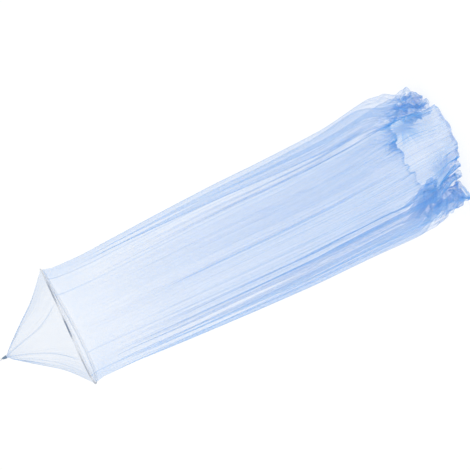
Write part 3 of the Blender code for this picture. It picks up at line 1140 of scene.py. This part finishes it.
@dataclass
class Roof(SewnRound):
    """Four gores of net from the hoop to the gathered tip, with the creases of packing."""

    node: str = "roof_gore"
    rests_on: tuple[str, ...] = ("tip_cap", "hoop_casing")
    widest: float = 0.475
    narrowest: float = 0.020
    cut_length: float = 0.455
    columns: int = 150
    rows: int = 90
    sag: float = 0.055
    creases: tuple[Crease, ...] = (
        Crease(-33.0, -29.0, -20.0, 0.010, 4.0, 3.6),
        Crease(-53.0, -47.0, -40.0, 0.007, 3.0, 2.0),
        Crease(-56.0, -59.0, -60.0, 0.006, 3.5, 1.4),
        Crease(-68.0, -66.0, -70.0, 0.007, 4.0, 1.2),
        Crease(62.0, 68.0, 74.0, 0.003, 5.0, 0.0),
        Crease(24.5, 16.0, 21.0, 0.008, 4.0, 3.4),
        Crease(-148.0, -152.0, -160.0, 0.006, 5.0, 0.2),
        Crease(140.0, 150.0, 160.0, 0.006, 5.0, 0.2),
    )
    crease_spread: float = 0.5
    crease_fall: float = 0.7
    pinch: float = 0.0035
    pinch_start: float = 0.15
    gather_count: float = 17.0
    gather_seed: int = 500
    gather_steps: tuple[float, float] = (7.0, 9.0)
    gather_wander: float = 0.8
    gather_depth: float = 0.0016
    gather_start: float = 0.08
    low_gather: float = 0.35
    more_gather: float = 0.9
    seam_quiet: float = 0.05
    full_reach: float = 0.08
    tightest: float = 0.0035
    most_fullness: float = 3.0
    seam_width: float = 0.004
    seam_layers: float = 0.4

    @property
    def sections(self) -> Array:
        """Rise, reach and lean of the roof's sections, from the casing to the tip."""
        return np.array((
            (0.0023, self.hang.hoop_radius - 0.0035, 0.0000),
            (0.0350, 0.2620, 0.0020),
            (0.0630, 0.2305, 0.0045),
            (0.0900, 0.2020, 0.0055),
            (0.1180, 0.1755, 0.0055),
            (0.1730, 0.1310, 0.0050),
            (0.2280, 0.0855, 0.0030),
            (0.2830, 0.0385, 0.0010),
            (0.3000, 0.0235, 0.0000),
            (0.3150, 0.0085, 0.0000),
            (0.3300, 0.0045, 0.0000),
        ))

    def piece(self, index: int) -> Piece:
        """Builds one gore.

        Args:
            index: The gore's number, from 1.

        Returns:
            The gore's object.
        """
        hang = self.hang
        tip = self.sections[-1, 0]
        grid = self.grid(index, np.linspace(self.sections[0, 0], tip, self.rows))
        share, rise, climb = grid.share, grid.level, grid.level / tip
        wide = grid.end - grid.start
        reach, lean = self.profile(rise)
        edge = 0.5 * hang.seam_gap / reach
        angle = grid.start + edge + (wide - 2.0 * edge) * share
        height = hang.hoop_z + rise + hang.hoop_lift(angle) * (1.0 - climb)
        inwards, folded = grid.flat, grid.flat
        for crease in self.creases:
            line = through_points(climb, np.array((0.0, 0.5, 1.0)),
                                  np.array((crease.low, crease.middle, crease.high)))
            away = degrees_from(np.degrees(angle), line)
            trough = bell(away, crease.width * (self.crease_spread + climb))
            run = np.sin(math.pi * np.clip(climb, 0.0, 1.0)) ** self.crease_fall
            inwards += crease.depth * trough * run
            pinch = bell(np.radians(away) * reach, self.pinch)
            folded += crease.fold * pinch * ease(climb / self.pinch_start)
        uneven = self.gather_wander * SmoothNoise(self.gather_seed + index).at(
            share * self.gather_steps[0], rise * self.gather_steps[1])
        fine = np.sin(TURN * (self.gather_count * share + uneven))
        depth = (self.gather_depth * ease(grid.from_seam / self.seam_quiet)
                 * (self.low_gather + self.more_gather * climb))
        inwards += depth * fine * ease(climb / self.gather_start)
        sag = self.sag * np.sin(math.pi * share) ** 2 * np.sin(math.pi * climb)
        reach = reach * (1.0 - sag) - inwards * np.minimum(reach / self.full_reach, 1.0)
        reach = np.maximum(reach, self.tightest)
        points = hang.around(angle, reach, height, lean)
        width = self.widest + (self.narrowest - self.widest) * climb
        cloth = side_by_side(ROOF_CLOTH[0] + (share - 0.5) * width,
                             ROOF_CLOTH[1] + climb * self.cut_length)
        seam = grid.from_seam * width < self.seam_width
        fullness = np.clip(width / (reach * wide), 1.0, self.most_fullness)
        layers = fullness + folded + self.seam_layers * seam
        return sheet_object("net_roof_gore_%d" % index, points, cloth, layers)


# ---- hoop ----


class Bunch(NamedTuple):
    """Stretch of casing that is bunched thick: middle in degrees, half width, extra layers."""

    middle: float
    half_width: float
    layers: float


@dataclass
class HoopRing:
    """Wire hoop in the doubled net that is sewn round it."""

    hang: Hang
    wire_finish: Material
    casing_finish: Material
    wire: float = 0.0020
    bore: float = 0.0029
    bore_points: int = 22
    half_gap: float = 24.0
    leg: float = 0.0180
    leg_end: float = 0.0012
    leg_points: int = 7
    slot: float = 0.0010
    steps: int = 512
    casing_width: float = 0.048
    stitch_row: float = 0.0135
    pucker_depth: float = 0.0011
    pucker_seed: int = 700
    pucker_steps: tuple[float, float] = (56.0, 60.0)
    leg_layers: float = 0.8
    round_layers: float = 0.4
    round_end: float = 0.002
    bunches: tuple[Bunch, ...] = (
        Bunch(-0.5, 8.5, 5.5),
        Bunch(35.0, 13.0, 3.6),
        Bunch(318.0, 16.0, 2.2),
        Bunch(286.0, 8.0, 2.6),
        Bunch(270.0, 5.0, 3.5),
        Bunch(86.0, 7.0, 2.5),
    )
    pieces: list[Piece] = field(default_factory=list)

    def build_wire(self) -> Piece:
        """Bends a torus to the hoop's slight twist."""
        clear_selection()
        bpy.ops.mesh.primitive_torus_add(
            location=(0.0, 0.0, self.hang.hoop_z), major_radius=self.hang.hoop_radius,
            minor_radius=self.wire, major_segments=192, minor_segments=14)
        ring = bpy.context.object
        ring.name = ring.data.name = "hoop_wire"
        bpy.ops.object.transform_apply(location=True, rotation=True, scale=True)
        for vert in ring.data.vertices:
            angle = math.atan2(vert.co.x, -vert.co.y)
            vert.co.z += float(self.hang.hoop_lift(np.array(angle)))
        ring.data.shade_smooth()
        return ring

    def build_casing(self) -> Piece:
        """Folds a band of doubled net over the wire, its two legs sewn together below."""
        hang = self.hang
        turns = np.linspace(math.radians(self.half_gap), math.radians(360.0 - self.half_gap),
                            self.bore_points)
        legs = np.linspace(self.leg, self.bore + self.leg_end, self.leg_points)
        beside = np.full(self.leg_points, self.slot)
        along = np.concatenate((legs, self.bore * np.cos(turns), legs[::-1]))
        across = np.concatenate((beside, self.bore * np.sin(turns), -beside))
        down = np.array((-math.sin(hang.casing_tilt), -math.cos(hang.casing_tilt)))
        aside = np.array((-down[1], down[0]))
        section = down * along[:, None] + aside * across[:, None]
        angle = np.linspace(0.0, TURN, self.steps + 1)[:, None]
        pucker = SmoothNoise(self.pucker_seed).at(
            angle * self.pucker_steps[0] / TURN, along[None, :] * self.pucker_steps[1])
        low = ease((along[None, :] - self.bore) / self.leg)
        reach = hang.hoop_radius + section[None, :, 0] + self.pucker_depth * pucker * low
        height = hang.hoop_z + section[None, :, 1] + hang.hoop_lift(angle)
        points = hang.around(angle, reach, height, 0.0)
        points[-1] = points[0]
        length = np.concatenate(([0.0], np.cumsum(np.hypot(*np.diff(section, axis=0).T))))
        from_row = np.minimum(length, length[-1] - length) - self.stitch_row
        cloth = side_by_side(angle * hang.hoop_radius, from_row[None, :])
        thick = np.zeros_like(angle)
        for bunch in self.bunches:
            thick += bunch.layers * bell(
                degrees_from(np.degrees(angle), bunch.middle), bunch.half_width, 4)
        on_round = along[None, :] < self.bore + self.round_end
        layers = self.leg_layers + (self.round_layers + thick) * on_round
        return sheet_object("casing_band", points, cloth, layers)

    def build(self) -> None:
        """Builds the wire and its casing."""
        self.pieces = [self.build_wire(), self.build_casing()]

    def dress(self) -> None:
        """Gives the hoop and casing their finishes, joins them to the body and hides the solids
        that they replace.
        """
        ring, band = self.pieces
        stand_for(ring, "hoop", self.wire_finish)
        stand_for(band, "hoop_casing", self.casing_finish)


# ---- hanger ----


@dataclass
class Hanger:
    """Tape loop and tip cap that the net hangs from."""

    finish: Material
    nodes: tuple[str, ...] = ("hanging_loop", "tip_cap")

    def dress(self) -> None:
        """Gives the loop and the cap their woven tape."""
        for node in self.nodes:
            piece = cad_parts[node]
            piece.data.materials.clear()
            piece.data.materials.append(self.finish)


# ---- studio ----


class Lamp(NamedTuple):
    """Large soft light: name, place and power."""

    name: str
    place: tuple[float, float, float]
    power: float


@dataclass
class Studio:
    """Pale floor, even white light, and the camera of the photograph."""

    hang: Hang
    lens: float = 65.49
    sensor: float = 36.0
    eye: tuple[float, float] = (0.040, -4.156)
    eye_rise: float = 1.85
    pitch: float = math.radians(10.04)
    roll: float = math.radians(-116.15)
    floor_size: float = 30.0
    floor_glow: float = 0.785
    floor_greys: tuple[Colour, Colour] = ((0.24, 0.24, 0.24, 1.0), (0.26, 0.26, 0.26, 1.0))
    white: Colour = (1.0, 1.0, 1.0, 1.0)
    surround: float = 1.03
    lamps: tuple[Lamp, ...] = (
        Lamp("key", (-2.6, -3.6, 1.2), 14.0),
        Lamp("fill", (3.2, -2.4, 0.2), 6.0),
    )
    lamp_size: float = 3.0
    lit: tuple[float, float, float] = (0.0, 0.0, -1.2)

    def build_floor(self) -> None:
        """Lays the floor that the hem rests on."""
        clear_selection()
        bpy.ops.mesh.primitive_plane_add(size=self.floor_size,
                                         location=(0.0, 0.0, self.hang.floor_z - 0.001))
        floor = bpy.context.object
        floor.name = "studio_floor"
        bpy.ops.object.transform_apply(location=True, rotation=True, scale=True)
        material, bench, shader = new_material("floor_white")
        cloud = bench.add("ShaderNodeTexNoise", Vector=bench.place(), Scale=0.4, Detail=1.0)
        for key, value in (
            ("Base Color", bench.mix(cloud.outputs["Fac"], *self.floor_greys)),
            ("Emission Color", self.white),
            ("Emission Strength", self.floor_glow),
            ("Roughness", 0.9),
            ("Specular IOR Level", 0.0),
        ):
            bench.feed(shader[key], value)
        floor.data.materials.append(material)

    def build_light(self) -> None:
        """Sets an even white surround and two large soft lights."""
        world = bpy.data.worlds.new("white_surround")
        bpy.context.scene.world = world
        world.use_nodes = True
        surround = world.node_tree.nodes["Background"]
        surround.inputs["Color"].default_value = self.white
        surround.inputs["Strength"].default_value = self.surround
        for lamp in self.lamps:
            data = bpy.data.lights.new(lamp.name, "AREA")
            data.energy = lamp.power
            data.size = self.lamp_size
            light = bpy.data.objects.new(lamp.name, data)
            bpy.context.scene.collection.objects.link(light)
            light.location = lamp.place
            aim = Vector(self.lit) - Vector(lamp.place)
            light.rotation_euler = aim.to_track_quat("-Z", "Y").to_euler()

    def build_camera(self) -> None:
        """Places the camera, rolled as the photograph is turned."""
        data = bpy.data.cameras.new("camera")
        data.lens = self.lens
        data.sensor_width = self.sensor
        camera = bpy.data.objects.new("camera", data)
        bpy.context.scene.collection.objects.link(camera)
        place = Matrix.Translation((*self.eye, self.hang.floor_z + self.eye_rise))
        look = Matrix.Rotation(math.pi / 2.0 - self.pitch, 4, "X")
        camera.matrix_world = place @ look @ Matrix.Rotation(self.roll, 4, "Z")
        bpy.context.scene.camera = camera

    def build(self) -> None:
        """Builds the floor, the light and the camera."""
        self.build_floor()
        self.build_light()
        self.build_camera()
        scene = bpy.context.scene
        scene.view_settings.view_transform = "Standard"
        scene.view_settings.look = "None"
        scene.cycles.transparent_max_bounces = 96


def main() -> None:
    """Builds and dresses the whole net."""
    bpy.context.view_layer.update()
    effects = Effects()
    hang = Hang()
    net = NetFinish().material(effects)
    skirt = Skirt(hang, net)
    stretched_net = NetFinish("stretched_net", colour=(0.210, 0.400, 0.680, 1.0),
                              worn=(0.250, 0.430, 0.700, 1.0), coverage=0.068,
                              thread_opacity=0.33, thinnest=0.34)
    roof = Roof(hang, stretched_net.material(effects))
    ring = HoopRing(hang, WireFinish().material(effects), CasingFinish().material(effects))
    for part in (skirt, roof, ring):
        part.build()
        part.dress()
        for piece in part.pieces:
            LOG.info("%s: %d faces", piece.name, len(piece.data.polygons))
    Hanger(TapeFinish().material(effects)).dress()
    Studio(hang).build()


if __name__ == "__main__":
    main()
